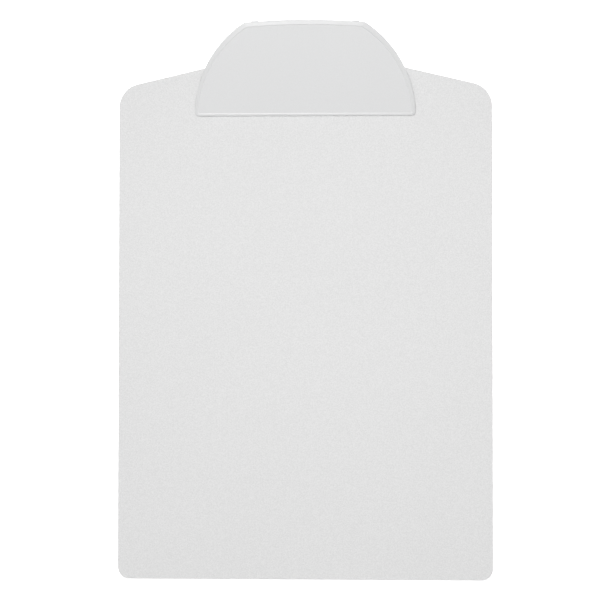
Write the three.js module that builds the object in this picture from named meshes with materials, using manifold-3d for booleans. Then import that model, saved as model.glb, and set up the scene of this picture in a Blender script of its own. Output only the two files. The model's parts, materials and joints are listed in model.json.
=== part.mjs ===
// Letter-size clipboard: a moulded plastic board with a two-jaw squeeze clip on its top edge.
// Millimetres. X runs across the board, Y up the board towards the clip, and Z out of its writing face.
// The origin is the middle of the object's outline in X and Y, and its lowest face in Z.
import * as THREE from "three";
import { mergeVertices } from "three/addons/utils/BufferGeometryUtils.js";
import Module from "manifold-3d";

const wasm = await Module();
wasm.setup();

// ---------- driving dimensions ----------
const FIT = 0.1; // gap between two faces that touch in use
const RUN = 0.06; // radial gap of the lever's hinge holes on the pin

const board = {
  width: 228.6,
  height: 317.5,
  thickness: 3.0,
  edge: 0.4, // rounding of its front and back edges
  lowerCorner: 7.0,
  upperCorner: 14.5,
  shoulderAngle: THREE.MathUtils.degToRad(13.3),
  flatTop: 41, // half the straight top edge, between the two sloped shoulders
};

const clip = {
  overhang: 24.35, // how far the rear jaw reaches past the board's top edge
  throat: 34.95, // from the board's top edge down to the lip
  radius: 67.65, // side arcs
  centre: 0.1, // height of the arcs' centre above the lower edge
  corner: 2.5, // rounding of the lower corners
  tilt: THREE.MathUtils.degToRad(11), // of the lever's face, its top end raised
};

const lever = {
  height: 58.5, // along the tilted face
  topRadius: 380,
  face: 3.0, // outer face above the board, square to the face
  plate: 1.9,
  wall: 1.8,
  lip: 3.4,
  edge: 0.7, // rounding of the rim's outer edge
  depth: 16, // of the moulding before its underside is cut
  rim: { side: 1.75, top: 2.7, bottom: 1.7, drop: 1.35, depth: 0.5 },
  foot: 0.3, // gap under the lip's plastic
  hem: 0.7, // gap under the side walls
  ribs: { every: 12, width: 1.6, from: 24, depth: 2.0 },
  stops: { at: 18, width: 1.8, from: 46 }, // deep ribs beside the handle's middle
};

const rear = {
  plate: 2.4,
  rise: 5.4, // top of its rim and ribs beyond the board
  wall: 2.0,
  inset: 0.6, // how much smaller than the lever its side arcs are
  topRadius: 380,
  ribs: { every: 10, width: 1.6, below: 0.5 },
};

const hinge = {
  pastBoard: 4.0, // axis beyond the board's top edge
  aboveBoard: 3.7, // axis above the board's front
  pinRadius: 1.5,
  pinHalf: 49.2,
  knuckle: 3.0, // width of each ear and lug along the pin
  ears: [28.0, 42.6], // middles of the rear jaw's ears, each side
  lugs: [24.6, 46.0], // middles of the lever's lugs, each side
  earRadius: 3.3,
  lugRadius: 3.5,
  swing: THREE.MathUtils.degToRad(14.5), // room left between the handles
};

const spring = {
  wire: 0.7, // radius
  coil: 3.2, // radius to the middle of the wire
  turns: 5,
  pitch: 1.6,
  leg: 11.5,
  middle: 35.1,
  pad: { half: 1.8, reach: 4.5 }, // the seat under the end of each leg
};
const rivet = {
  xs: [22, 50],
  belowTop: 9.5,
  hole: 2.0,
  shank: 1.85,
  head: { radius: 4.0, sunk: 0.15, thickness: 0.85, round: 0.35 },
  recess: { radius: 4.4, depth: 1.1 },
  roll: { radius: 3.1, height: 0.8, bore: 1.1, boreDepth: 2.0 },
  washer: { radius: 4.0, thickness: 0.5 },
};
const cap = { radius: 2.8, past: 1.0 };
const grip = { half: 62, width: 1.6, height: 1.0, stand: 0.15, setback: 0.9 };
const bump = { at: 31, half: 2.2, proud: 0.85, depth: 3, lift: 0.6 };

// ---------- places worked out from them ----------
const length = board.height + clip.overhang;
const yBottom = -length / 2;
const yTop = yBottom + board.height; // the board's top edge
const yLip = yTop - clip.throat;
const zBack = rear.plate + FIT; // the board's back
const zFront = zBack + board.thickness; // the board's front
const yPin = yTop + hinge.pastBoard;
const zPin = zFront + hinge.aboveBoard;
const yHandle = yTop + 3 * FIT; // where the rear jaw thickens, just past the board
const leverUnder = lever.face - lever.plate;
const lugOuter = Math.max(...hinge.lugs) + hinge.knuckle / 2;
const yRivet = yTop - rivet.belowTop;
const far = 200; // longer than anything it has to pass through

// The lever's own frame: its lower edge on the board, its face tilted about X.
const leverFrame = new THREE.Matrix4().makeRotationX(clip.tilt).setPosition(0, yLip, zFront);
const pinInLever = new THREE.Vector3(0, yPin, zPin).applyMatrix4(leverFrame.clone().invert());

// ---------- helpers ----------
const sides = { left: -1, right: 1 };

function solid(geometry) {
  const bare = geometry.index ? geometry.toNonIndexed() : geometry.clone();
  bare.deleteAttribute("normal");
  bare.deleteAttribute("uv");
  const merged = mergeVertices(bare, 1e-4);
  const mesh = new wasm.Mesh({
    numProp: 3,
    vertProperties: new Float32Array(merged.attributes.position.array),
    triVerts: new Uint32Array(merged.index.array),
  });
  return new wasm.Manifold(mesh);
}

function geometryOf(manifold) {
  const mesh = manifold.getMesh();
  const geometry = new THREE.BufferGeometry();
  geometry.setAttribute("position", new THREE.BufferAttribute(mesh.vertProperties, 3));
  geometry.setIndex(new THREE.BufferAttribute(mesh.triVerts, 1));
  const flat = geometry.toNonIndexed();
  flat.computeVertexNormals();
  return flat;
}

const joined = (solids) => solids.reduce((sum, next) => sum.add(next));

function arc(cx, cy, radius, from, to, steps) {
  return Array.from({ length: steps + 1 }, (_, i) => {
    const angle = from + ((to - from) * i) / steps;
    return new THREE.Vector2(cx + radius * Math.cos(angle), cy + radius * Math.sin(angle));
  });
}

// A closed outline from runs of points, without the points that repeat the one before.
function outline(...runs) {
  const points = runs.flat();
  return new THREE.Shape(points.filter((p, i) => p.distanceTo(points.at(i - 1)) > 1e-3));
}

// A shape in XY, raised from z0 to z1, with its edges rounded by `edge`.
function slab(shape, z0, z1, edge = 0) {
  const geometry = new THREE.ExtrudeGeometry(shape, {
    depth: z1 - z0 - 2 * edge,
    bevelEnabled: edge > 0,
    bevelThickness: edge,
    bevelSize: edge,
    bevelOffset: -edge,
    bevelSegments: 2,
    curveSegments: 1,
  });
  return geometry.translate(0, 0, z0 + edge);
}

// A shape drawn in YZ, drawn out along X from x0 to x1.
function bar(shape, x0, x1) {
  const geometry = new THREE.ExtrudeGeometry(shape, { depth: x1 - x0, bevelEnabled: false });
  const yzx = new THREE.Matrix4().set(0, 0, 1, 0, 1, 0, 0, 0, 0, 1, 0, 0, 0, 0, 0, 1);
  return geometry.applyMatrix4(yzx).translate(x0, 0, 0);
}

function block(x0, x1, y0, y1, z0, z1) {
  const geometry = new THREE.BoxGeometry(x1 - x0, y1 - y0, z1 - z0);
  return geometry.translate((x0 + x1) / 2, (y0 + y1) / 2, (z0 + z1) / 2);
}

// A round rod along X on the hinge axis.
function hingeRod(radius, x0, x1) {
  const geometry = new THREE.CylinderGeometry(radius, radius, x1 - x0, 32);
  return geometry.rotateZ(Math.PI / 2).translate((x0 + x1) / 2, yPin, zPin);
}

// A profile of [radius, height] points turned about Z at (x, y).
function turned(profile, x, y, segments = 24) {
  const points = profile.map(([radius, height]) => new THREE.Vector2(radius, height));
  return new THREE.LatheGeometry(points, segments).rotateX(Math.PI / 2).translate(x, y, 0);
}

// ---------- outlines ----------
// The clip's half-round outline: a straight lower edge with small round corners, two side arcs about
// one centre, and an arched top between two sharp corners.
function halfRound(radius, y0, yCentre, top, topRadius, r = clip.corner) {
  const xCorner = Math.sqrt((radius - r) ** 2 - (y0 + r - yCentre) ** 2);
  const low = Math.atan2(y0 + r - yCentre, xCorner);
  const topCentre = top - topRadius;
  const yMeet =
    (radius ** 2 - topRadius ** 2 + topCentre ** 2 - yCentre ** 2) / (2 * (topCentre - yCentre));
  const xMeet = Math.sqrt(radius ** 2 - (yMeet - yCentre) ** 2);
  const high = Math.atan2(yMeet - yCentre, xMeet);
  const spread = Math.asin(xMeet / topRadius);
  return outline(
    arc(xCorner, y0 + r, r, -Math.PI / 2, low, 5),
    arc(0, yCentre, radius, low, high, 16),
    arc(0, topCentre, topRadius, Math.PI / 2 - spread, Math.PI / 2 + spread, 10),
    arc(0, yCentre, radius, Math.PI - high, Math.PI - low, 16),
    arc(-xCorner, y0 + r, r, Math.PI - low, 1.5 * Math.PI, 5),
  );
}

// The lever's outline on its own face, with its side, top and bottom moved inwards. A drop of the
// side arcs' centre leaves a rim that widens towards the top.
function leverOutline({ side, top, bottom, drop = 0 }) {
  const corner = Math.max(clip.corner - bottom, 0.8);
  const yCentre = clip.centre - drop;
  return halfRound(clip.radius - side, bottom, yCentre, lever.height - top, lever.topRadius, corner);
}

// The rear jaw's outline, moved inwards by `inset`.
function rearOutline(inset) {
  return halfRound(
    clip.radius - rear.inset - inset,
    yLip + inset,
    yLip + clip.centre,
    length / 2 - inset,
    rear.topRadius,
  );
}

function boardOutline() {
  const half = board.width / 2;
  const slope = board.shoulderAngle;
  const r = board.lowerCorner;
  const R = board.upperCorner;
  const lineAtSide = yTop - (half - board.flatTop) * Math.tan(slope);
  // the round between the vertical side and the shoulder line, touching both
  const yRound = lineAtSide + R * Math.tan(slope) - R / Math.cos(slope);
  const right = [
    ...arc(half - r, yBottom + r, r, -Math.PI / 2, 0, 8),
    ...arc(half - R, yRound, R, 0, Math.PI / 2 - slope, 10),
    new THREE.Vector2(board.flatTop, yTop),
  ];
  const left = right.map((p) => new THREE.Vector2(-p.x, p.y)).reverse();
  return outline(right, left);
}

// ---------- pieces ----------
const rivetPlaces = Object.entries(sides).flatMap(([side, sign]) =>
  rivet.xs.map((x, i) => ({ name: `${["inner", "outer"][i]}_${side}`, x: sign * x })),
);

const rivetHoles = joined(
  rivetPlaces.map(({ x }) =>
    solid(new THREE.CylinderGeometry(rivet.hole, rivet.hole, far, 24).rotateX(Math.PI / 2))
      .translate([x, yRivet, 0]),
  ),
);

// The hinge hole, through every ear and lug but not the lever's side walls.
const pinHole = solid(hingeRod(hinge.pinRadius + RUN, -lugOuter - FIT, lugOuter + FIT));

function makeBoard() {
  return solid(slab(boardOutline(), zBack, zFront, board.edge)).subtract(rivetHoles);
}

// One hinge knuckle: a round eye about the pin, on a stem between two heights.
function knuckle(x, radius, zFrom, zTo) {
  const half = hinge.knuckle / 2;
  const eye = solid(hingeRod(radius, x - half, x + half));
  const stem = solid(block(x - half, x + half, yPin - radius, yPin + radius, zFrom, zTo));
  return eye.add(stem);
}

function makeRearJaw() {
  const plate = solid(slab(rearOutline(0), 0, rear.plate));
  const handle = solid(slab(rearOutline(0), 0, rear.rise));
  const well = solid(slab(rearOutline(rear.wall), rear.plate, far));
  const pastBoard = solid(block(-far, far, yHandle, far, 0, far));
  const rim = handle.subtract(well).intersect(pastBoard);

  const root = rear.plate / 2; // what stands on the plate starts inside it
  const ledgeHalf = board.flatTop - 1;
  const ledge = solid(block(-ledgeHalf, ledgeHalf, yHandle, yHandle + rear.wall, root, rear.rise));
  const ribTop = rear.rise - rear.ribs.below;
  const ribs = [-2, -1, 0, 1, 2].map((i) => {
    const x = i * rear.ribs.every;
    const half = rear.ribs.width / 2;
    return solid(block(x - half, x + half, yHandle + FIT, far, root, ribTop));
  });
  const bumps = [-1, 1].map((sign) => {
    const x = sign * bump.at;
    const yEdge = length / 2 - rear.topRadius + Math.sqrt(rear.topRadius ** 2 - bump.at ** 2);
    const [x0, x1] = [x - bump.half, x + bump.half];
    return solid(block(x0, x1, yEdge - bump.depth, yEdge + bump.proud, bump.lift, rear.rise));
  });
  const ears = [-1, 1].flatMap((sign) =>
    hinge.ears.map((x) => knuckle(sign * x, hinge.earRadius, root, zPin)),
  );
  const padTop = zPin - spring.coil - spring.wire - FIT;
  const yLegEnd = yPin + spring.leg;
  const pads = [-1, 1].map((sign) => {
    const x = sign * (spring.middle + coilLength() / 2);
    const { half, reach } = spring.pad;
    return solid(block(x - half, x + half, yLegEnd - reach, yLegEnd, root, padTop));
  });
  const { radius, depth } = rivet.recess;
  const recesses = rivetPlaces.map(({ x }) =>
    solid(turned([[0, -1], [radius, -1], [radius, depth], [0, depth]], x, yRivet)),
  );

  return joined([plate, rim, ledge, joined(ribs).intersect(handle), ...bumps, ...ears, ...pads])
    .subtract(joined(recesses))
    .subtract(rivetHoles)
    .subtract(pinHole);
}

// Everything under the lever: level beneath its lip and side walls, then rising along the handle.
function makeLeverClearance() {
  const foot = zFront + lever.foot;
  const hem = zFront + lever.hem;
  const yStart = yLip - 10;
  const yEnd = yTop + 40;
  const yFoot = yLip + lever.lip;
  const profile = [
    [yStart, -far],
    [yEnd, -far],
    [yEnd, hem + (yEnd - yPin) * Math.tan(hinge.swing)],
    [yPin, hem],
    [yFoot + lever.hem, hem],
    [yFoot, foot],
    [yStart, foot],
  ];
  return solid(bar(new THREE.Shape(profile.map(([y, z]) => new THREE.Vector2(y, z))), -far, far));
}

function makeLever() {
  const bottom = lever.face - lever.depth;
  const inTilt = (geometry) => solid(geometry.applyMatrix4(leverFrame));
  const full = leverOutline({ side: 0, top: 0, bottom: 0 });
  const inside = leverOutline({ side: lever.wall, top: lever.wall, bottom: lever.lip });
  const whole = inTilt(slab(full, bottom, lever.face, lever.edge));
  const hollow = inTilt(slab(inside, bottom - 1, leverUnder));
  const faceRecess = inTilt(slab(leverOutline(lever.rim), lever.face - lever.rim.depth, far));

  const root = lever.face - lever.plate / 2; // what hangs from the plate starts inside it
  const wallsOf = (places, width, from, foot) =>
    places.map((u) => inTilt(block(u - width / 2, u + width / 2, from, lever.height, foot, root)));
  const ribPlaces = [-1, 0, 1].map((i) => i * lever.ribs.every);
  const ribs = wallsOf(ribPlaces, lever.ribs.width, lever.ribs.from, leverUnder - lever.ribs.depth);
  const stopPlaces = [-1, 1].map((sign) => sign * lever.stops.at);
  const stops = wallsOf(stopPlaces, lever.stops.width, lever.stops.from, bottom);
  const padFoot = pinInLever.z + spring.coil + spring.wire + FIT;
  const legEnd = pinInLever.y + spring.leg;
  const pads = [-1, 1].map((sign) => {
    const u = sign * (spring.middle - coilLength() / 2);
    const { half, reach } = spring.pad;
    return inTilt(block(u - half, u + half, legEnd - reach, legEnd, padFoot, root));
  });
  const lugs = [-1, 1].flatMap((sign) =>
    hinge.lugs.map((x) => knuckle(sign * x, hinge.lugRadius, zPin, far)),
  );

  return whole
    .subtract(hollow)
    .add(joined([...ribs, ...stops, ...pads]).intersect(whole))
    .subtract(makeLeverClearance())
    .add(joined(lugs).intersect(whole))
    .subtract(faceRecess)
    .subtract(solid(gripBlock(FIT)))
    .subtract(pinHole);
}

// The grip strip's own block, or with `extra` the groove it sits in.
function gripBlock(extra) {
  const y0 = yLip + grip.setback;
  const z0 = zFront + grip.stand;
  const half = grip.half + extra;
  return block(-half, half, y0 - extra, y0 + grip.width + extra, z0 - extra, z0 + grip.height + extra);
}

const makeGrip = () => solid(gripBlock(0));

const makePin = () => solid(hingeRod(hinge.pinRadius, -hinge.pinHalf, hinge.pinHalf));

function makeCap(sign) {
  const inner = lugOuter + 4 * FIT;
  const outer = hinge.pinHalf + cap.past;
  const [x0, x1] = [sign * inner, sign * outer].sort((a, b) => a - b);
  const bore = hinge.pinHalf + FIT;
  return solid(hingeRod(cap.radius, x0, x1)).subtract(
    solid(hingeRod(hinge.pinRadius + RUN, -bore, bore)),
  );
}

function makeRivet(x) {
  const { head, roll, shank } = rivet;
  const headTop = head.sunk + head.thickness;
  const tail = zFront + FIT + rivet.washer.thickness + FIT; // just above the washer
  return solid(
    turned(
      [
        [0, head.sunk],
        [head.radius - head.round, head.sunk],
        [head.radius, head.sunk + head.round],
        [head.radius, headTop],
        [shank, headTop],
        [shank, tail],
        [roll.radius - 0.2, tail],
        [roll.radius, tail + roll.height / 2],
        [(roll.radius + shank) / 2, tail + roll.height],
        [roll.bore + 0.3, tail + roll.height / 2],
        [roll.bore, tail - roll.boreDepth],
        [0, tail - roll.boreDepth - roll.bore / 3],
      ],
      x,
      yRivet,
    ),
  );
}

function makeWasher(x) {
  const z0 = zFront + FIT;
  const z1 = z0 + rivet.washer.thickness;
  const inner = rivet.hole + FIT;
  const outer = rivet.washer.radius;
  return solid(turned([[inner, z0], [outer, z0], [outer, z1], [inner, z1], [inner, z0]], x, yRivet));
}

function coilLength() {
  return spring.pitch * (spring.turns + 0.5);
}

// One torsion spring: a leg in along the lever's tilt, the coil round the pin, and a level leg out.
class SpringPath extends THREE.Curve {
  constructor(sign) {
    super();
    this.sign = sign;
    this.from = Math.PI / 2 + clip.tilt;
    this.to = 1.5 * Math.PI + 2 * Math.PI * spring.turns;
    this.coil = (this.to - this.from) * spring.coil;
    this.total = this.coil + 2 * spring.leg;
  }

  onCoil(angle) {
    const share = (angle - this.from) / (this.to - this.from);
    const x = this.sign * (spring.middle + (share - 0.5) * coilLength());
    const y = yPin + spring.coil * Math.cos(angle);
    const z = zPin + spring.coil * Math.sin(angle);
    return new THREE.Vector3(x, y, z);
  }

  getPoint(t, target = new THREE.Vector3()) {
    const run = t * this.total;
    if (run < spring.leg) {
      const left = spring.leg - run;
      const step = new THREE.Vector3(0, left * Math.cos(clip.tilt), left * Math.sin(clip.tilt));
      return target.copy(this.onCoil(this.from)).add(step);
    }
    if (run > spring.leg + this.coil) {
      const past = run - spring.leg - this.coil;
      return target.copy(this.onCoil(this.to)).add(new THREE.Vector3(0, past, 0));
    }
    return target.copy(this.onCoil(this.from + (run - spring.leg) / spring.coil));
  }
}

function makeSpring(sign) {
  const wire = new THREE.Shape(arc(0, 0, spring.wire, 0, (2 * Math.PI * 7) / 8, 7));
  const geometry = new THREE.ExtrudeGeometry(wire, {
    steps: 110,
    extrudePath: new SpringPath(sign),
    bevelEnabled: false,
  });
  return solid(geometry);
}

// ---------- assembly ----------
const finishes = {
  boardPlastic: { color: 0xe2e2e2, roughness: 0.75, metalness: 0 },
  clipPlastic: { color: 0xdfe0e0, roughness: 0.4, metalness: 0 },
  steel: { color: 0xb9bbbe, roughness: 0.3, metalness: 1 },
  softPlastic: { color: 0xc9cbcb, roughness: 0.9, metalness: 0 },
};

const clipboard = new THREE.Group();

function place(name, manifold, finish) {
  const mesh = new THREE.Mesh(geometryOf(manifold), new THREE.MeshStandardMaterial(finishes[finish]));
  mesh.name = name;
  clipboard.add(mesh);
}

place("board", makeBoard(), "boardPlastic");
place("rear_jaw", makeRearJaw(), "clipPlastic");
place("front_jaw", makeLever(), "clipPlastic");
place("grip_strip", makeGrip(), "softPlastic");
place("hinge_pin", makePin(), "steel");
for (const [side, sign] of Object.entries(sides)) {
  place(`pin_cap_${side}`, makeCap(sign), "steel");
  place(`torsion_spring_${side}`, makeSpring(sign), "steel");
}
for (const { name, x } of rivetPlaces) {
  place(`rivet_${name}`, makeRivet(x), "steel");
  place(`rivet_washer_${name}`, makeWasher(x), "steel");
}

export default clipboard;
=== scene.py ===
"""The clipboard's looks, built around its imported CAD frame: same axes, same places, metres."""

import json
import math

import bmesh
import bpy
from mathutils import Matrix, Vector


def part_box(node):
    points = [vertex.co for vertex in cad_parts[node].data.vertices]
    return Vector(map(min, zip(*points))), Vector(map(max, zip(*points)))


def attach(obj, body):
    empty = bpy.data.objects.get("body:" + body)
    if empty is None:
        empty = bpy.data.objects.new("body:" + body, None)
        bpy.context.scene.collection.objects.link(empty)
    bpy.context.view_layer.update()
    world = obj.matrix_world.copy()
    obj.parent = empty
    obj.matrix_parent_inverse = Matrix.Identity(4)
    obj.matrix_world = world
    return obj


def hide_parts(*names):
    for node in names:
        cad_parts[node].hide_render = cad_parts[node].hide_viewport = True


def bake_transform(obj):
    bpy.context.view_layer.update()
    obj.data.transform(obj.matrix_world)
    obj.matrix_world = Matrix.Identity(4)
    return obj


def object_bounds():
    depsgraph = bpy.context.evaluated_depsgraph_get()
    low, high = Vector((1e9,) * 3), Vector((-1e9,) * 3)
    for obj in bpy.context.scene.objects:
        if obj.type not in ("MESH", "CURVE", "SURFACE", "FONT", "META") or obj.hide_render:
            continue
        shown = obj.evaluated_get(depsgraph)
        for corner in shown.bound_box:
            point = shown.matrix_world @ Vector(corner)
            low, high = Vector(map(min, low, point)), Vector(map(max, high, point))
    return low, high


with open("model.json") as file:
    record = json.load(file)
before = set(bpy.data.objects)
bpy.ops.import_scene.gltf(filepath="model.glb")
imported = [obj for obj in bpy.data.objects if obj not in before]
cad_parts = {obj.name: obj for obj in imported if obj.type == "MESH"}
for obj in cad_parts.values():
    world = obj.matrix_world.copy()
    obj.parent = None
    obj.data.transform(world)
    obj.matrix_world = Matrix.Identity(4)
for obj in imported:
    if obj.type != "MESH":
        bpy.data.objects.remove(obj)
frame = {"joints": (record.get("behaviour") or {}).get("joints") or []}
cad_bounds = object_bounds()

# ---------- sizes: pieces are made in millimetres and scaled to metres when finished ----------
M = 1000.0  # millimetres in a metre


def box_mm(node):
    """A CAD node's lowest and highest corner in millimetres."""
    low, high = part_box(node)
    return low * M, high * M


board_low, board_high = box_mm("board")
rear_low, rear_high = box_mm("rear_jaw")
grip_low, grip_high = box_mm("grip_strip")
pin_low, pin_high = box_mm("hinge_pin")
joint = frame["joints"][0]
y_pin = joint["pos_m"][1] * M
z_pin = joint["pos_m"][2] * M

y_top = board_high.y  # the board's top edge
z_front = board_high.z  # the board's writing face
y_lip = rear_low.y  # the clip's lower edge
y_handle = y_top + 0.3  # where the rear jaw thickens, just past the board

FIT = 0.1  # play between neighbours
SOFT = 0.2  # how far a moulded rib's edges are rounded
PAST = 1.0  # how far a cutting tool reaches past what it cuts
TINY = 1e-6  # lengths below this count as none
SHARP_ANGLE = math.radians(40)  # edges that turn more than this are shaded as corners
FINE_SIDES = 64  # of turned pieces whose outline is long or wide

# edge rounding, corner radii, the shoulders' slope, and half the width of the flat top
BOARD = {"edge": 0.35, "lower": 7.0, "upper": 14.5, "slope": math.radians(13.3), "flat": 41.0}
# both jaws' half round: radius, centre over the lip, corner and tip radii; then the lever's slope
CLIP = {"radius": 67.65, "centre": 0.1, "corner": 2.5, "tip": 0.5, "tilt": math.radians(11)}
LEAST = {"lever_corner": 0.8, "rear_corner": 0.5, "tip": 0.25}  # the radii that insets stop at

# The lever, on its own sloping plane: height, arch radius, the face's height, and how thick it is.
LEVER = {"height": 58.5, "top_radius": 440.0, "face": 3.0, "plate": 1.9, "wall": 1.8, "lip": 3.4}
RIM = {"side": 1.75, "top": 2.45, "bottom": 1.05, "drop": 1.35}  # how far in the rim's crest lies
SET_BACK = 0.65  # the lip's edge behind the clip's lowest point
RECESS = {"low": 0.2, "high": 0.42, "slope": 0.6, "lip_slope": 0.85}  # the step inside the crest
# how far the rim slopes down outwards, what the lip changes and up to where, and its rounded edge
CROWN = {"fall": 0.42, "lip_fall": -0.16, "lip": 6.0, "round": 0.38, "share": 0.22}
# gaps over the sheet at the foot and past it, then the handle's slope, its bend and its start
HEM = {"foot": 0.12, "gap": 0.7, "swing": math.radians(14.5), "bend": 0.8, "level_to": -12}
HEM_ROUND = 0.15
LEVER_ROOT = 0.6  # the fillet between the lever's wall and its plate
LEVER_RIB = {"us": (-12, 0, 12), "half": 0.8, "start": 24, "depth": 2.0}
STOP_RIB = {"at": 18, "half": 0.9, "start": 46.0}
RIB_SINK = 0.8  # how far ribs and pads run up into the lever's plate
RIB_END_GAP = 1.2  # from a rib's end to the lever's top

# the rear jaw
REAR = {"radius": 67.05, "top_radius": 440.0, "plate": 2.4, "wall": 2.0}
# rounding at the back and on the raised edge, then what keeps the plate's last rings apart
REAR_EDGE = {"low": 0.5, "crest": 0.45, "lap": 0.05, "sink": 0.001}
REAR_RIB = {"xs": (-20, -10, 0, 10, 20), "half": 0.8, "start": 0.5, "below": 0.5}
HANDLE_RISE = (0.2, 2.0)  # where its edge starts and ends rising, past y_handle
BUMP = {"at": 31.0, "half": 2.2, "proud": 0.85, "depth": 3.0, "lift": 0.6, "soft": 0.3}

# the hinge and its springs: width of an eye, places of the eyes on either side, their radii
HINGE = {"knuckle": 3.0, "ears": (28.0, 42.6), "lugs": (24.6, 46.0), "ear": 3.3, "lug": 3.5}
LUG_SINK = 0.7  # how far the lugs run up into the lever's plate
PIN = {"radius": 1.5, "chamfer": 0.35, "round": 0.12}
HOLE_RADIUS = 1.56
CAP = {  # up to the crown: shares of its width where it narrows, and by how much
    "bore": PIN["radius"] + 0.06,
    "skirt": 0.3,
    "step": 0.45,
    "step_end": 0.4,
    "neck": 0.5,
    "neck_end": 0.8,
    "crown": 1.2,
    "round": 0.22,
}
# radii of wire and coil, turns and their pitch, length of a leg, and the coil's middle
SPRING = {"wire": 0.7, "coil": 3.2, "turns": 5, "pitch": 1.6, "leg": 11.5, "middle": 35.1}
WIRE_END = {"length": 0.15, "taper": 0.8}  # the bevel on each cut end
PAD = {"half": 1.8, "reach": 4.5}  # under a leg's end: half its width, and how far along the leg

# the rivets: places, radii of hole, shank and recess, and the recess's depth
RIVET = {"xs": (22.0, 50.0), "hole": 2.0, "shank": 1.85, "recess": 4.4, "recess_depth": 1.1}
RECESS_CHAMFER = 0.3
RIVET_HEAD = {"chamfer": 0.9, "rise": 0.5, "thick": 0.85}
CURL_FOOT = 0.7  # how far over the sheet the tube's rolled end starts
CURL = ((2.95, 0), (3.1, 0.4), (2.4, 0.8), (1.55, 0.62), (1.1, 0.1))  # radius, height over its foot
BORE = {"radius": 1.1, "end": 2.0, "tip": 2.3}  # its end and tip lie this far under the foot
RIVET_ROUND = 0.3
WASHER_ROUND = 0.12
GRIP_ROUND = 0.3

y_rivet = (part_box("rivet_inner_left")[0].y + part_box("rivet_inner_left")[1].y) / 2 * M
lever_frame = Matrix.Translation((0, y_lip, z_front)) @ Matrix.Rotation(CLIP["tilt"], 4, "X")
pin_in_lever = lever_frame.inverted() @ Vector((0, y_pin, z_pin))
lever_under = LEVER["face"] - LEVER["plate"]
coil_length = SPRING["pitch"] * (SPRING["turns"] + 0.5)
lever_end = SPRING["middle"] - coil_length / 2  # x of the coil's end whose leg presses the lever
base_end = SPRING["middle"] + coil_length / 2  # x of the end whose leg presses the rear jaw


# ---------- outlines ----------
def arc(cx, cy, radius, start, end, steps):
    """Points along an arc, both ends included."""
    angles = [start + (end - start) * i / steps for i in range(steps + 1)]
    return [(cx + radius * math.cos(a), cy + radius * math.sin(a)) for a in angles]


def joined_runs(*runs):
    """One closed outline, without the points that repeat the one before."""
    points = [p for run in runs for p in run]
    return [p for i, p in enumerate(points) if math.dist(p, points[i - 1]) > TINY]


def circles_meet(y1, r1, y2, r2):
    """Where two circles centred on x = 0 cross, on the right-hand side."""
    y = (r1**2 - r2**2 + y2**2 - y1**2) / (2 * (y2 - y1))
    return math.sqrt(r1**2 - (y - y1) ** 2), y


def half_round(radius, y0, y_centre, top, top_radius, corner, tip):
    """The clip's outline: straight lower edge, side arcs about one centre, arched top."""
    x_corner = math.sqrt((radius - corner) ** 2 - (y0 + corner - y_centre) ** 2)
    low = math.atan2(y0 + corner - y_centre, x_corner)
    y_arch = top - top_radius
    x_tip, y_tip = circles_meet(y_centre, radius - tip, y_arch, top_radius - tip)
    tip_start = math.atan2(y_tip - y_centre, x_tip)
    tip_end = math.atan2(y_tip - y_arch, x_tip)
    corner_steps, side_steps, tip_steps, top_steps = 10, 48, 6, 14
    half = [
        [(0.0, y0)],
        arc(x_corner, y0 + corner, corner, -math.pi / 2, low, corner_steps),
        arc(0, y_centre, radius, low, tip_start, side_steps),
        arc(x_tip, y_tip, tip, tip_start, tip_end, tip_steps),
        arc(0, y_arch, top_radius, tip_end, math.pi / 2, top_steps),
    ]
    right = joined_runs(*half)
    left = [(-x, y) for x, y in reversed(right) if abs(x) > TINY]
    return right + left


def lever_outline(edge):
    """The lever's outline on its own plane, with its sides, top and bottom set in."""
    return half_round(
        CLIP["radius"] - edge["side"],
        edge["bottom"] + SET_BACK,
        CLIP["centre"] - edge["drop"],
        LEVER["height"] - edge["top"],
        LEVER["top_radius"],
        max(CLIP["corner"] - edge["bottom"], LEAST["lever_corner"]),
        max(CLIP["tip"] - edge["side"], LEAST["tip"]),
    )


def rear_outline(inset):
    """The rear jaw's outline, set in evenly."""
    return half_round(
        REAR["radius"] - inset,
        y_lip + inset,
        y_lip + CLIP["centre"],
        rear_high.y - inset,
        REAR["top_radius"],
        max(CLIP["corner"] - inset, LEAST["rear_corner"]),
        max(CLIP["tip"] - inset, LEAST["tip"]),
    )


def board_outline(inset):
    """The sheet's outline: straight sides, sloped shoulders and a flat top, set in evenly."""
    half = board_high.x - inset
    slope = BOARD["slope"]
    low = BOARD["lower"] - inset
    high = BOARD["upper"] - inset
    y0 = board_low.y + inset
    y1 = y_top - inset
    bend = BOARD["flat"] - inset * math.tan(slope / 2)
    line_at_side = y1 - (half - bend) * math.tan(slope)
    y_round = line_at_side + high * math.tan(slope) - high / math.cos(slope)
    lower_steps, upper_steps = 16, 20
    right = [
        *arc(half - low, y0 + low, low, -math.pi / 2, 0, lower_steps),
        *arc(half - high, y_round, high, 0, math.pi / 2 - slope, upper_steps),
        (bend, y1),
    ]
    return right + [(-x, y) for x, y in reversed(right)]


# ---------- mesh helpers ----------
def object_from(bm, name):
    """A new object in the scene that takes over the mesh, with its faces turned outwards."""
    bmesh.ops.recalc_face_normals(bm, faces=bm.faces)
    mesh = bpy.data.meshes.new(name)
    bm.to_mesh(mesh)
    bm.free()
    made = bpy.data.objects.new(name, mesh)
    bpy.context.scene.collection.objects.link(made)
    return made


def band(bm, lower, upper):
    """A closed band of four-sided faces between two loops of equal length."""
    for i in range(len(lower)):
        j = (i + 1) % len(lower)
        bm.faces.new((lower[i], lower[j], upper[j], upper[i]))


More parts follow.
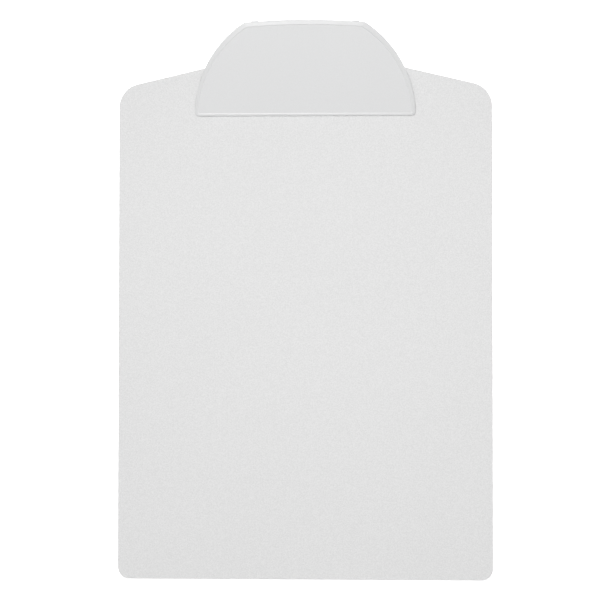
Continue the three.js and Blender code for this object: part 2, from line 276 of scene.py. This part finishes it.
def ring_stack(name, rings):
    """A skin through rings of equal length, closed by a flat cap at each end."""
    bm = bmesh.new()
    loops = [[bm.verts.new(p) for p in ring] for ring in rings]
    for lower, upper in zip(loops, loops[1:]):
        band(bm, lower, upper)
    bm.faces.new(loops[0])
    bm.faces.new(loops[-1])
    return object_from(bm, name)


def round_edges(bm, edges, by):
    """Rounds sharp edges with a bevel of three segments."""
    bmesh.ops.bevel(bm, geom=edges, offset=by, segments=3, profile=0.5, affect="EDGES")


def quarter(steps):
    """(across, along) of a quarter round from flat (0, 0) to upright (1, 1)."""
    angles = [math.pi / 2 * i / steps for i in range(steps + 1)]
    return [(math.sin(a), 1 - math.cos(a)) for a in angles]


def block(x, y, z, soft=SOFT, matrix=None):
    """A box between pairs of coordinates, with softened edges."""
    bm = bmesh.new()
    bmesh.ops.create_cube(bm, size=1.0)
    size = Matrix.Diagonal((x[1] - x[0], y[1] - y[0], z[1] - z[0], 1))
    middle = Matrix.Translation(((x[0] + x[1]) / 2, (y[0] + y[1]) / 2, (z[0] + z[1]) / 2))
    bmesh.ops.transform(bm, matrix=middle @ size, verts=bm.verts)
    if soft:
        round_edges(bm, bm.edges[:], soft)
    if matrix:
        bmesh.ops.transform(bm, matrix=matrix, verts=bm.verts)
    return object_from(bm, "block")


def turned(name, profile, matrix, segments=48):
    """A profile of (radius, height) points turned about Z, then placed; it starts and ends on the
    axis, or else closes on itself."""
    bm = bmesh.new()
    on_axis = profile[0][0] < TINY
    middle = profile[1:-1] if on_axis else profile
    angles = [2 * math.pi * i / segments for i in range(segments)]
    rings = [
        [bm.verts.new((radius * math.cos(a), radius * math.sin(a), height)) for a in angles]
        for radius, height in middle
    ]
    pairs = list(zip(rings, rings[1:]))
    if not on_axis:
        pairs.append((rings[-1], rings[0]))
    for lower, upper in pairs:
        band(bm, lower, upper)
    if on_axis:
        for ring, point in ((rings[0], profile[0]), (rings[-1], profile[-1])):
            tip = bm.verts.new((0, 0, point[1]))
            for i in range(segments):
                bm.faces.new((ring[i], ring[(i + 1) % segments], tip))
    bmesh.ops.transform(bm, matrix=matrix, verts=bm.verts)
    return object_from(bm, name)


def rounded_profile(points, radius, steps=4):
    """A (radius, height) profile with its corners rounded; its two ends stay where they are."""
    most = 0.45  # of a side's length, so that the rounds at its two ends don't meet
    made = [points[0]]
    for before, here, after in zip(points, points[1:], points[2:]):
        here, before, after = Vector(here), Vector(before), Vector(after)
        reach = min(radius, (before - here).length * most, (after - here).length * most)
        start = here + (before - here).normalized() * reach
        end = here + (after - here).normalized() * reach
        for i in range(steps + 1):
            t = i / steps
            made.append(tuple(start * (1 - t) ** 2 + here * 2 * t * (1 - t) + end * t**2))
    made.append(points[-1])
    return made


def along_x(x):
    """Turns the Z axis onto X, on the hinge's line."""
    return Matrix.Translation((x, y_pin, z_pin)) @ Matrix.Rotation(math.pi / 2, 4, "Y")


def pin_hole(x0, x1):
    """The tool that cuts the pin's hole through every eye between x0 and x1."""
    profile = [(0, x0), (HOLE_RADIUS, x0), (HOLE_RADIUS, x1), (0, x1)]
    return turned("rod", profile, along_x(0), FINE_SIDES)


def knuckle(x, radius, z_far, lean=0.0):
    """A hinge eye about the pin, on a stem whose far end, at z_far, slopes by lean."""
    soft, steps = 0.3, 28
    start = math.pi if z_far > z_pin else 0.0
    eye = arc(y_pin, z_pin, radius, start, start + math.pi, steps)
    ends = [(y, z_far + (y - y_pin) * math.tan(lean)) for y in (eye[-1][0], eye[0][0])]
    half = HINGE["knuckle"] / 2
    bm = bmesh.new()
    sides = [[bm.verts.new((x + s * half, y, z)) for y, z in eye + ends] for s in (-1, 1)]
    band(bm, *sides)
    caps = [bm.faces.new(side) for side in sides]
    round_edges(bm, list({edge for cap in caps for edge in cap.edges}), soft)
    return object_from(bm, "knuckle")


def apply_modifiers(made):
    """Fixes what the object's modifiers make as its own mesh."""
    graph = bpy.context.evaluated_depsgraph_get()
    mesh = bpy.data.meshes.new_from_object(made.evaluated_get(graph))
    made.modifiers.clear()
    made.data = mesh


def boolean(made, operation, tools):
    """Joins or cuts made by each tool in turn, then removes the tools."""
    for tool in tools:
        modifier = made.modifiers.new("boolean", "BOOLEAN")
        modifier.operation = operation
        modifier.solver = "EXACT"
        modifier.object = tool
        apply_modifiers(made)
        bpy.data.objects.remove(tool)
    return made


def finish_piece(made, material, body, nodes):
    """Scales a piece to metres, shades it, ties it to its body, and hides the CAD nodes it replaces."""
    made.data.transform(Matrix.Scale(1 / M, 4))
    made.data.materials.clear()
    made.data.materials.append(material)
    made.data.polygons.foreach_set("use_smooth", [True] * len(made.data.polygons))
    made.data.set_sharp_from_angle(angle=SHARP_ANGLE)
    weighted = made.modifiers.new("weighted_normals", "WEIGHTED_NORMAL")
    weighted.keep_sharp = True
    weighted.weight = 80
    if body:
        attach(made, body)
    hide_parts(*nodes)


# ---------- materials ----------
class Shade:
    """A Principled material and short calls for the nodes that feed it."""

    def __init__(self, name, roughness, metallic=0.0, specular=0.5):
        self.material = bpy.data.materials.new(name)
        self.material.use_nodes = True
        self.nodes = self.material.node_tree.nodes
        self.links = self.material.node_tree.links
        self.shader = self.nodes["Principled BSDF"]
        self.shader.inputs["Roughness"].default_value = roughness
        self.shader.inputs["Metallic"].default_value = metallic
        self.shader.inputs["Specular IOR Level"].default_value = specular
        self.place = self.nodes.new("ShaderNodeTexCoord").outputs["Object"]
        self.relief = None

    def stretched(self, scale):
        """Places on the object, scaled so that a pattern is drawn out where the scale is small."""
        mapping = self.nodes.new("ShaderNodeMapping")
        mapping.inputs["Scale"].default_value = scale
        self.links.new(self.place, mapping.inputs["Vector"])
        return mapping.outputs["Vector"]

    def noise(self, per_metre, detail, place=None):
        node = self.nodes.new("ShaderNodeTexNoise")
        node.inputs["Scale"].default_value = per_metre
        node.inputs["Detail"].default_value = detail
        self.links.new(place or self.place, node.inputs["Vector"])
        return node.outputs["Fac"]

    def cells(self, per_metre):
        node = self.nodes.new("ShaderNodeTexVoronoi")
        node.feature = "SMOOTH_F1"
        node.inputs["Scale"].default_value = per_metre
        self.links.new(self.place, node.inputs["Vector"])
        return node.outputs["Distance"]

    def ranged(self, value, low, high, from_low=0.3, from_high=0.7):
        """Low to high as value goes from from_low to from_high, which is where noise mostly lies."""
        node = self.nodes.new("ShaderNodeMapRange")
        node.inputs["From Min"].default_value = from_low
        node.inputs["From Max"].default_value = from_high
        node.inputs["To Min"].default_value = low
        node.inputs["To Max"].default_value = high
        self.links.new(value, node.inputs["Value"])
        return node.outputs["Result"]

    def maths(self, operation, a, b):
        """One operation on two values, each a number or a socket."""
        node = self.nodes.new("ShaderNodeMath")
        node.operation = operation
        for socket, value in zip(node.inputs, (a, b)):
            if isinstance(value, (int, float)):
                socket.default_value = value
            else:
                self.links.new(value, socket)
        return node.outputs["Value"]

    def blended(self, first, share, second):
        """A share of the first value and the rest of the second."""
        parts = self.maths("MULTIPLY", first, share), self.maths("MULTIPLY", second, 1 - share)
        return self.maths("ADD", *parts)

    def colours(self, factor, first, second):
        node = self.nodes.new("ShaderNodeMix")
        node.data_type = "RGBA"
        node.inputs["A"].default_value = (*first, 1)
        node.inputs["B"].default_value = (*second, 1)
        self.links.new(factor, node.inputs["Factor"])
        return node.outputs["Result"]

    def colour_from(self, socket):
        self.links.new(socket, self.shader.inputs["Base Color"])

    def roughness_from(self, socket):
        self.links.new(socket, self.shader.inputs["Roughness"])

    def bump(self, height, strength, depth_mm):
        """Relief in the surface, laid over any relief that it has already."""
        node = self.nodes.new("ShaderNodeBump")
        node.inputs["Strength"].default_value = strength
        node.inputs["Distance"].default_value = depth_mm / M
        self.links.new(height, node.inputs["Height"])
        if self.relief:
            self.links.new(self.relief, node.inputs["Normal"])
        self.relief = node.outputs["Normal"]
        self.links.new(self.relief, self.shader.inputs["Normal"])


def grey(level, warm=0.0):
    """A grey that is more red and less blue by the share warm."""
    return (level * (1 + warm), level, level * (1 - warm))


def board_plastic():
    """White sheet with a fine haircell grain and faint uneven tone."""
    shade = Shade("board_grained_plastic", roughness=0.6, specular=0.35)
    pebbles = shade.cells(820)
    fine = shade.noise(1900, detail=1.0)
    grain = shade.maths("ADD", shade.maths("MULTIPLY", pebbles, 0.7), fine)
    clouds = shade.noise(11, detail=3.0)
    tone = shade.blended(fine, 0.93, clouds)
    shade.colour_from(shade.colours(shade.ranged(tone, 0, 1), grey(0.675), grey(0.775)))
    shade.roughness_from(shade.ranged(fine, 0.55, 0.7))
    shade.bump(grain, 0.4, 0.04)
    return shade.material


def clip_plastic():
    """Satin white moulding: faint speckle, fine orange peel and a slow waviness in the gloss."""
    shade = Shade("clip_satin_plastic", roughness=0.36)
    peel = shade.noise(2600, detail=2.0)
    sink = shade.noise(32, detail=1.0)
    flow = shade.noise(9, detail=2.0, place=shade.stretched((1.0, 0.35, 1.0)))
    speckle = shade.noise(1500, detail=1.0)
    tone = shade.blended(flow, 0.4, speckle)
    shade.colour_from(shade.colours(shade.ranged(tone, 0, 1), grey(0.67, -0.004), grey(0.70, -0.004)))
    shade.roughness_from(shade.ranged(peel, 0.32, 0.4))
    shade.bump(sink, 0.3, 0.08)
    shade.bump(peel, 0.12, 0.02)
    return shade.material


def steel(name, level, roughness, along):
    """Bright steel with faint stains and fine drawn lines; along is small on the lines' own axis."""
    shade = Shade(name, roughness=roughness, metallic=1.0)
    lines = shade.noise(5200, detail=3.0, place=shade.stretched(along))
    stain = shade.noise(260, detail=3.0)
    shade.colour_from(shade.colours(shade.ranged(stain, 0, 1), grey(level * 0.93), grey(level, 0.01)))
    shade.roughness_from(shade.ranged(lines, roughness - 0.07, roughness + 0.1))
    shade.bump(lines, 0.25, 0.01)
    return shade.material


def soft_strip():
    """Matte light grey elastomer with a dusty bloom."""
    shade = Shade("grip_soft_elastomer", roughness=0.85, specular=0.25)
    bloom = shade.noise(700, detail=4.0)
    shade.colour_from(shade.colours(shade.ranged(bloom, 0, 1), grey(0.42), grey(0.5)))
    shade.bump(bloom, 0.4, 0.04)
    return shade.material


def floor_paint():
    """White paper lit through: it glows more beyond the lights' reach, so it stays pale."""
    shade = Shade("floor_white_paper", roughness=0.9, specular=0.1)
    fibres = shade.noise(220, detail=3.0)
    shade.colour_from(shade.colours(shade.ranged(fibres, 0, 1), grey(0.93), grey(0.95)))
    shade.shader.inputs["Emission Color"].default_value = (1, 1, 1, 1)
    away = shade.nodes.new("ShaderNodeVectorMath")
    away.operation = "LENGTH"
    shade.links.new(shade.place, away.inputs[0])
    near, far = 0.5, 1.5  # metres from the object's middle
    glow = shade.ranged(away.outputs["Value"], 0.4, 0.95, near, far)
    shade.links.new(glow, shade.shader.inputs["Emission Strength"])
    return shade.material


# ---------- pieces ----------
def lever_height(y):
    """World height of the lever's underside edge at y: foot, level hem, then the handle's slope."""
    foot_end = y_lip + LEVER["lip"]
    share = min(max((y - foot_end) / HEM["gap"], 0), 1)
    level = HEM["foot"] + (HEM["gap"] - HEM["foot"]) * share
    slope = (y - y_pin) * math.tan(HEM["swing"])
    rounded = (slope + math.sqrt(slope**2 + HEM["bend"] ** 2)) / 2
    rise = rounded if y > y_pin + HEM["level_to"] else 0.0
    return z_front + level + rise


def at_hem(u, v, lift):
    """Height on the lever's own axis where a wall at (u, v) reaches its hem, plus lift."""
    w = 0.0
    for _ in range(12):  # each round comes closer to the height; far fewer would do
        place = lever_frame @ Vector((u, v, w))
        w += (lever_height(place.y) - place.z) / math.cos(CLIP["tilt"])
    return w + lift


def lever_ring(edge, height):
    """One ring of the lever; its height is a number, or a function of the place on the lever."""
    points = lever_outline(edge)
    heights = [height(u, v) if callable(height) else height for u, v in points]
    return [lever_frame @ Vector((u, v, w)) for (u, v), w in zip(points, heights)]


def grown(edge, by):
    """An outline's insets, all larger by the same amount; the drop of its arcs' centre stays."""
    return {k: v if k == "drop" else v + by for k, v in edge.items()}


def rim_at(share):
    """The insets that lie a share of the way from the rim's crest to the outer wall."""
    return {k: v * (1 - share) for k, v in RIM.items()}


def rim_fall(v):
    """How far the rim slopes down from its crest to its outer edge: least along the lip."""
    return CROWN["fall"] + CROWN["lip_fall"] * max(0.0, 1 - v / CROWN["lip"]) ** 2


def recess_depth(v):
    """How far the face lies below the crest at v: least along the lip."""
    return RECESS["low"] + (RECESS["high"] - RECESS["low"]) * v / LEVER["height"]


def lever_shell():
    """The hollow moulding, ring by ring: face, step, rim, outer wall, hem, inner wall, plate."""
    face = LEVER["face"]
    outer = rim_at(1)
    inner = {"side": LEVER["wall"], "top": LEVER["wall"], "bottom": LEVER["lip"], "drop": 0}
    hem, root = HEM_ROUND, LEVER_ROOT
    steps = 8
    rings = []
    for i in range(steps + 1):  # up the step from the face to the rim's crest
        left = 1 - i / steps
        edge = grown(RIM, RECESS["slope"] * left)
        edge["bottom"] = RIM["bottom"] + RECESS["lip_slope"] * left
        rings.append(lever_ring(edge, lambda u, v, left=left: face - recess_depth(v) * left))
    flank = 1 - CROWN["share"]
    for i in range(1, steps + 1):  # down the rim's flank
        share = i / steps
        edge = rim_at(flank * share)
        rings.append(lever_ring(edge, lambda u, v, share=share: face - rim_fall(v) * share))
    for a, b in quarter(6)[1:]:  # round its outer edge
        edge = rim_at(flank + CROWN["share"] * a)
        rings.append(lever_ring(edge, lambda u, v, b=b: face - rim_fall(v) - CROWN["round"] * b))
    for a, b in quarter(4):  # down the wall and in under the hem
        edge = grown(outer, hem * b)
        rings.append(lever_ring(edge, lambda u, v, a=a: at_hem(u, v, hem * (1 - a))))
    for a, b in quarter(4):  # and up again inside
        edge = grown(inner, -hem * (1 - a))
        rings.append(lever_ring(edge, lambda u, v, b=b: at_hem(u, v, hem * b)))
    for a, b in quarter(5):  # the fillet under the plate
        rings.append(lever_ring(grown(inner, root * b), lever_under - root * (1 - a)))
    return ring_stack("lever_moulding", rings)


def spring_pads(middle, leg_end, heights, matrix=None):
    """A pad on each side, middle out from the centre, for the end of a spring's leg to press."""
    along = (leg_end - PAD["reach"], leg_end)
    half = PAD["half"]
    return [block((x - half, x + half), along, heights, matrix=matrix) for x in (-middle, middle)]


def knuckles(xs, radius, z_far, lean=0.0):
    """A hinge eye at each x on both sides."""
    return [knuckle(sign * x, radius, z_far, lean) for sign in (-1, 1) for x in xs]


def make_stop_rib(u):
    """A deep rib beside the handle's middle, cut along the handle's sloping underside."""
    start, end, top = STOP_RIB["start"], LEVER["height"] - RIB_END_GAP, lever_under + RIB_SINK
    steps = 8
    foot = [end + (start - end) * i / steps for i in range(steps + 1)]
    corners = [(start, top), (end, top), *[(v, at_hem(u, v, 0.0)) for v in foot]]
    bm = bmesh.new()
    sides = []
    for x in (u - STOP_RIB["half"], u + STOP_RIB["half"]):
        sides.append([bm.verts.new(lever_frame @ Vector((x, v, w))) for v, w in corners])
    band(bm, *sides)
    for side in sides:
        bm.faces.new(side)
    return object_from(bm, "stop_rib")


def make_lever():
    """The front jaw: its shell, what stands inside it, the pin's hole and the strip's groove."""
    shell = lever_shell()
    heights = (lever_under - LEVER_RIB["depth"], lever_under + RIB_SINK)
    along = (LEVER_RIB["start"], LEVER["height"] - RIB_END_GAP)
    half = LEVER_RIB["half"]
    ribs = [block((u - half, u + half), along, heights, matrix=lever_frame) for u in LEVER_RIB["us"]]
    stops = [make_stop_rib(sign * STOP_RIB["at"]) for sign in (-1, 1)]
    seat = pin_in_lever.z + SPRING["coil"] + SPRING["wire"] + FIT
    leg_end = pin_in_lever.y + SPRING["leg"]
    pads = spring_pads(lever_end, leg_end, (seat, lever_under + RIB_SINK), lever_frame)
    z_plate = z_pin + (lever_under + LUG_SINK - pin_in_lever.z) / math.cos(CLIP["tilt"])
    lugs = knuckles(HINGE["lugs"], HINGE["lug"], z_plate, CLIP["tilt"])
    boolean(shell, "UNION", [*ribs, *stops, *pads, *lugs])

    reach = max(HINGE["lugs"]) + HINGE["knuckle"]
    groove = block(
        (grip_low.x - FIT, grip_high.x + FIT),
        (grip_low.y - FIT, grip_high.y + FIT),
        (grip_low.z - PAST, grip_high.z + FIT),
        soft=0,
    )
    return boolean(shell, "DIFFERENCE", [pin_hole(-reach, reach), groove])


def rim_height(y):
    """Top of the rear jaw's edge: the flat plate behind the board, then the handle's raised rim."""
    start, end = (y_handle + past for past in HANDLE_RISE)
    share = min(max((y - start) / (end - start), 0), 1)
    plate, rise = REAR["plate"], z_front - FIT
    return plate + (rise - plate) * share * share * (3 - 2 * share)


def rear_top(x):
    """The rear jaw's top edge at x."""
    return rear_high.y - REAR["top_radius"] + math.sqrt(REAR["top_radius"] ** 2 - x**2)


def rear_ring(inset, height):
    """One ring of the rear jaw; its height is a number, or a function of y."""
    points = rear_outline(inset)
    heights = [height(y) if callable(height) else height for _, y in points]
    return [Vector((x, y, z)) for (x, y), z in zip(points, heights)]


def rear_tray():
    """The moulding without its fittings: back, outer wall, raised edge and the plate inside it."""
    low, crest = REAR_EDGE["low"], REAR_EDGE["crest"]
    wall, plate = REAR["wall"], REAR["plate"]
    rings = [rear_ring(low * (1 - a), low * b) for a, b in quarter(5)]
    for a, b in quarter(5):  # over the outer side of the edge
        rings.append(rear_ring(crest * b, lambda y, a=a: rim_height(y) - crest * (1 - a)))
    for a, b in quarter(5):  # down its inner side, no lower than just below the plate's surface
        least = plate - REAR_EDGE["sink"] * b
        inset = wall - crest * (1 - a)
        rings.append(rear_ring(inset, lambda y, b=b, least=least: max(rim_height(y) - crest * b, least)))
    rings.append(rear_ring(wall + REAR_EDGE["lap"], plate))
    return ring_stack("rear_jaw_moulding", rings)


def make_rear_jaw():
    """The rear jaw: its tray, what stands on it, the pin's hole and the rivets' recesses."""
    tray = rear_tray()
    plate = REAR["plate"]
    root = plate / 2
    rise = z_front - FIT
    across = (1 - BOARD["flat"], BOARD["flat"] - 1)
    ledge = block(across, (y_handle, y_handle + REAR["wall"]), (root, rise))
    ribs = []
    heights = (root, rise - REAR_RIB["below"])
    for x in REAR_RIB["xs"]:
        along = (y_handle + REAR_RIB["start"], rear_top(x) - REAR["wall"] / 2)
        ribs.append(block((x - REAR_RIB["half"], x + REAR_RIB["half"]), along, heights))
    bumps = []
    heights = (BUMP["lift"], rise)
    for x in (-BUMP["at"], BUMP["at"]):
        along = (rear_top(x) - BUMP["depth"], rear_top(x) + BUMP["proud"])
        bumps.append(block((x - BUMP["half"], x + BUMP["half"]), along, heights, BUMP["soft"]))
    ears = knuckles(HINGE["ears"], HINGE["ear"], root)
    seat = z_pin - SPRING["coil"] - SPRING["wire"] - FIT
    pads = spring_pads(base_end, y_pin + SPRING["leg"], (root, seat))
    boolean(tray, "UNION", [ledge, *ribs, *bumps, *ears, *pads])

    recess, hole = RIVET["recess"], RIVET["hole"]
    just_under = -0.01  # the chamfer starts here, clear of the back face
    profile = [
        (0, -PAST),
        (recess + RECESS_CHAMFER, -PAST),
        (recess + RECESS_CHAMFER, just_under),
        (recess, RECESS_CHAMFER),
        (recess, RIVET["recess_depth"]),
        (hole, RIVET["recess_depth"]),
        (hole, plate + PAST),
        (0, plate + PAST),
    ]
    return boolean(tray, "DIFFERENCE", [pin_hole(pin_low.x, pin_high.x), *rivet_cuts(profile)])


def make_board():
    """The sheet with rounded edges and its four rivet holes."""
    edge = BOARD["edge"]

    def ring(inset, z):
        return [Vector((x, y, z)) for x, y in board_outline(inset)]

    rings = [ring(edge * (1 - a), board_low.z + edge * b) for a, b in quarter(4)]
    rings += [ring(edge * b, board_high.z - edge * (1 - a)) for a, b in quarter(4)]
    sheet = ring_stack("board_sheet", rings)
    hole = RIVET["hole"]
    under, over = board_low.z - PAST, board_high.z + PAST
    profile = [(0, under), (hole, under), (hole, over), (0, over)]
    return boolean(sheet, "DIFFERENCE", rivet_cuts(profile))


def at_rivet(x):
    return Matrix.Translation((x, y_rivet, 0))


def rivet_cuts(profile):
    """The same turned tool at each rivet."""
    return [turned("cut", profile, at_rivet(sign * x)) for sign in (-1, 1) for x in RIVET["xs"]]


def make_grip():
    """The strip in the lip, a plain bar with soft edges."""
    return block(*zip(grip_low, grip_high), soft=GRIP_ROUND)


def make_pin():
    """The hinge's rod with a chamfer at each end."""
    x0, x1 = pin_low.x, pin_high.x
    radius, chamfer = PIN["radius"], PIN["chamfer"]
    profile = [
        (0, x0),
        (radius - chamfer, x0),
        (radius, x0 + chamfer),
        (radius, x1 - chamfer),
        (radius - chamfer, x1),
        (0, x1),
    ]
    return turned("hinge_pin_rod", rounded_profile(profile, PIN["round"], 3), along_x(0), FINE_SIDES)


def make_cap(side, sign):
    """A push-on cap: a blind bore over the pin's end, a straight skirt and a narrower crown."""
    low, high = box_mm(f"pin_cap_{side}")
    radius = (high.z - low.z) / 2
    width = high.x - low.x
    x_open = min(abs(low.x), abs(high.x))
    depth = pin_high.x + FIT - x_open
    profile = [
        (0, depth),
        (CAP["bore"], depth),
        (CAP["bore"], 0),
        (radius, 0),
        (radius, width * CAP["skirt"]),
        (radius - CAP["step"], width * CAP["step_end"]),
        (radius - CAP["neck"], width * CAP["neck_end"]),
        (radius - CAP["crown"], width),
        (0, width),
    ]
    place = along_x(sign * x_open) @ Matrix.Rotation(0 if sign > 0 else math.pi, 4, "X")
    return turned(f"pin_cap_{side}_cup", rounded_profile(profile, CAP["round"]), place)


def make_rivet(name, x):
    """A tubular rivet: a low head at the back, a shank, and a rolled end round an open bore."""
    low, high = box_mm(f"rivet_{name}")
    head = (high.x - low.x) / 2
    head_top = low.z + RIVET_HEAD["thick"]
    tail = z_front + CURL_FOOT
    shank = RIVET["shank"]
    profile = [
        (0, low.z),
        (head - RIVET_HEAD["chamfer"], low.z),
        (head, low.z + RIVET_HEAD["rise"]),
        (head, head_top),
        (shank, head_top),
        (shank, tail),
        *[(radius, tail + rise) for radius, rise in CURL],
        (BORE["radius"], tail - BORE["end"]),
        (0, tail - BORE["tip"]),
    ]
    return turned(f"rivet_{name}_tube", rounded_profile(profile, RIVET_ROUND), at_rivet(x))


def make_washer(name, x):
    """A flat ring with softened edges under the rivet's rolled end."""
    low, high = box_mm(f"rivet_washer_{name}")
    outer = (high.x - low.x) / 2
    inner = RIVET["hole"] + FIT
    soft = WASHER_ROUND
    profile = [
        (inner, low.z + soft),
        (inner + soft, low.z),
        (outer - soft, low.z),
        (outer, low.z + soft),
        (outer, high.z - soft),
        (outer - soft, high.z),
        (inner + soft, high.z),
        (inner, high.z - soft),
    ]
    return turned(f"rivet_washer_{name}_ring", profile, at_rivet(x), FINE_SIDES)


def spring_centreline(sign):
    """Points in along the lever's leg, round the coil, and out along the rear jaw's leg."""
    start = math.pi / 2 + CLIP["tilt"]
    end = 1.5 * math.pi + 2 * math.pi * SPRING["turns"]
    steps_per_turn = 30
    steps = steps_per_turn * (SPRING["turns"] + 1)
    coil = []
    for i in range(steps + 1):
        share = i / steps
        angle = start + (end - start) * share
        x = sign * (SPRING["middle"] + (share - 0.5) * coil_length)
        y = y_pin + SPRING["coil"] * math.cos(angle)
        z = z_pin + SPRING["coil"] * math.sin(angle)
        coil.append(Vector((x, y, z)))
    out = Vector((0, math.cos(CLIP["tilt"]), math.sin(CLIP["tilt"])))
    leg, leg_steps = SPRING["leg"], 8
    lengths = [leg * i / leg_steps for i in range(leg_steps, 0, -1)]
    lengths.insert(1, leg - WIRE_END["length"])
    first = [coil[0] + out * step for step in lengths]
    last = [coil[-1] + Vector((0, step, 0)) for step in reversed(lengths)]
    return first + coil + last


def make_spring(side, sign):
    """A round wire along its centreline, bevelled at both cut ends."""
    path = spring_centreline(sign)
    sides = 16
    angles = [2 * math.pi * k / sides for k in range(sides)]
    bm = bmesh.new()
    rings = []
    across = Vector((1, 0, 0))
    for i, point in enumerate(path):
        ahead = path[min(i + 1, len(path) - 1)]
        behind = path[max(i - 1, 0)]
        run = (ahead - behind).normalized()
        across = (across - run * across.dot(run)).normalized()
        up = run.cross(across)
        at_end = i in (0, len(path) - 1)
        radius = SPRING["wire"] * (WIRE_END["taper"] if at_end else 1.0)
        rings.append(
            [bm.verts.new(point + (across * math.cos(a) + up * math.sin(a)) * radius) for a in angles]
        )
    for lower, upper in zip(rings, rings[1:]):
        band(bm, lower, upper)
    bm.faces.new(rings[0])
    bm.faces.new(rings[-1])
    return object_from(bm, f"torsion_spring_{side}_wire")


# ---------- assembly ----------
board_finish = board_plastic()
clip_finish = clip_plastic()
steel_finish = steel("plated_steel", 0.62, 0.3, (0.08, 1.0, 1.0))
spring_finish = steel("drawn_spring_steel", 0.5, 0.33, (1.0, 0.3, 1.0))
grip_finish = soft_strip()

finish_piece(make_board(), board_finish, "base", ["board"])
finish_piece(make_rear_jaw(), clip_finish, "base", ["rear_jaw"])
finish_piece(make_lever(), clip_finish, "lever", ["front_jaw"])
grip = make_grip()
grip.name = "grip_strip_extrusion"
finish_piece(grip, grip_finish, "lever", ["grip_strip"])
finish_piece(make_pin(), steel_finish, "base", ["hinge_pin"])

for side, sign in (("left", -1), ("right", 1)):
    cap = make_cap(side, sign)
    finish_piece(cap, steel_finish, "base", [f"pin_cap_{side}"])
    coil = make_spring(side, sign)
    finish_piece(coil, spring_finish, None, [f"torsion_spring_{side}"])
    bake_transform(coil)
    for place, x in zip(("inner", "outer"), RIVET["xs"]):
        name = f"{place}_{side}"
        rivet = make_rivet(name, sign * x)
        finish_piece(rivet, steel_finish, "base", [f"rivet_{name}"])
        washer = make_washer(name, sign * x)
        finish_piece(washer, steel_finish, "base", [f"rivet_washer_{name}"])

# ---------- floor, light and camera ----------
half_floor = 15.0
floor_gap = 0.0005  # keeps the floor's face clear of the faces that rest on it
floor_mesh = bpy.data.meshes.new("floor")
floor_mesh.from_pydata(
    [(x * half_floor, y * half_floor, 0) for x, y in ((-1, -1), (1, -1), (1, 1), (-1, 1))],
    [],
    [(0, 1, 2, 3)],
)
floor = bpy.data.objects.new("floor", floor_mesh)
floor.location.z = cad_bounds[0].z - floor_gap
floor_mesh.materials.append(floor_paint())
bpy.context.scene.collection.objects.link(floor)

world = bpy.data.worlds.new("studio")
world.use_nodes = True
light_path = world.node_tree.nodes.new("ShaderNodeLightPath")
strength = world.node_tree.nodes.new("ShaderNodeMapRange")
strength.inputs["To Min"].default_value = 0.37  # what falls on the object
strength.inputs["To Max"].default_value = 0.95  # what is seen past the floor's edge
background = world.node_tree.nodes["Background"]
background.inputs["Color"].default_value = (1, 1, 1, 1)
world.node_tree.links.new(light_path.outputs["Is Camera Ray"], strength.inputs["Value"])
world.node_tree.links.new(strength.outputs["Result"], background.inputs["Strength"])
bpy.context.scene.world = world


def soft_light(name, place, aim, size, watts):
    """A rectangular lamp that faces the point aim; it is out of the camera's sight."""
    data = bpy.data.lights.new(name, "AREA")
    data.shape = "RECTANGLE"
    data.size, data.size_y = size
    data.energy = watts
    lamp = bpy.data.objects.new(name, data)
    lamp.location = place
    lamp.rotation_euler = (Vector(aim) - Vector(place)).to_track_quat("-Z", "Y").to_euler()
    lamp.visible_camera = False
    bpy.context.scene.collection.objects.link(lamp)
    return lamp


overhead = soft_light(
    "overhead_softbox", place=(0.005, 0.062, 1.0), aim=(0.005, 0.062, 0), size=(0.1, 0.08), watts=6.7
)
overhead.visible_glossy = False  # it lights every face evenly and leaves the gloss to the gleam
gleam = soft_light(
    "gleam_past_the_clip_end", place=(-0.14, 0.37, 1.3), aim=(0, 0.05, 0), size=(0.33, 0.22), watts=5.5
)
gleam.visible_diffuse = False  # it draws the bright line along the rim and casts no shadow
soft_light(
    "fill_beyond_the_lower_end", place=(-0.1, -2.6, 1.5), aim=(0, 0, 0), size=(1.8, 1.4), watts=5
)

camera_data = bpy.data.cameras.new("camera")
camera = bpy.data.objects.new("camera", camera_data)
bpy.context.scene.collection.objects.link(camera)
bpy.context.scene.camera = camera
camera_data.sensor_width = 36.0
camera_data.lens = 98.2  # a long lens, a metre above the sheet and nearly square to it
camera.location = (0.0302, -0.0256, 1.0 + z_front / M)
camera.rotation_euler = [math.radians(degrees) for degrees in (1.42, 1.90, 0.05)]

bpy.context.scene.view_settings.view_transform = "Standard"
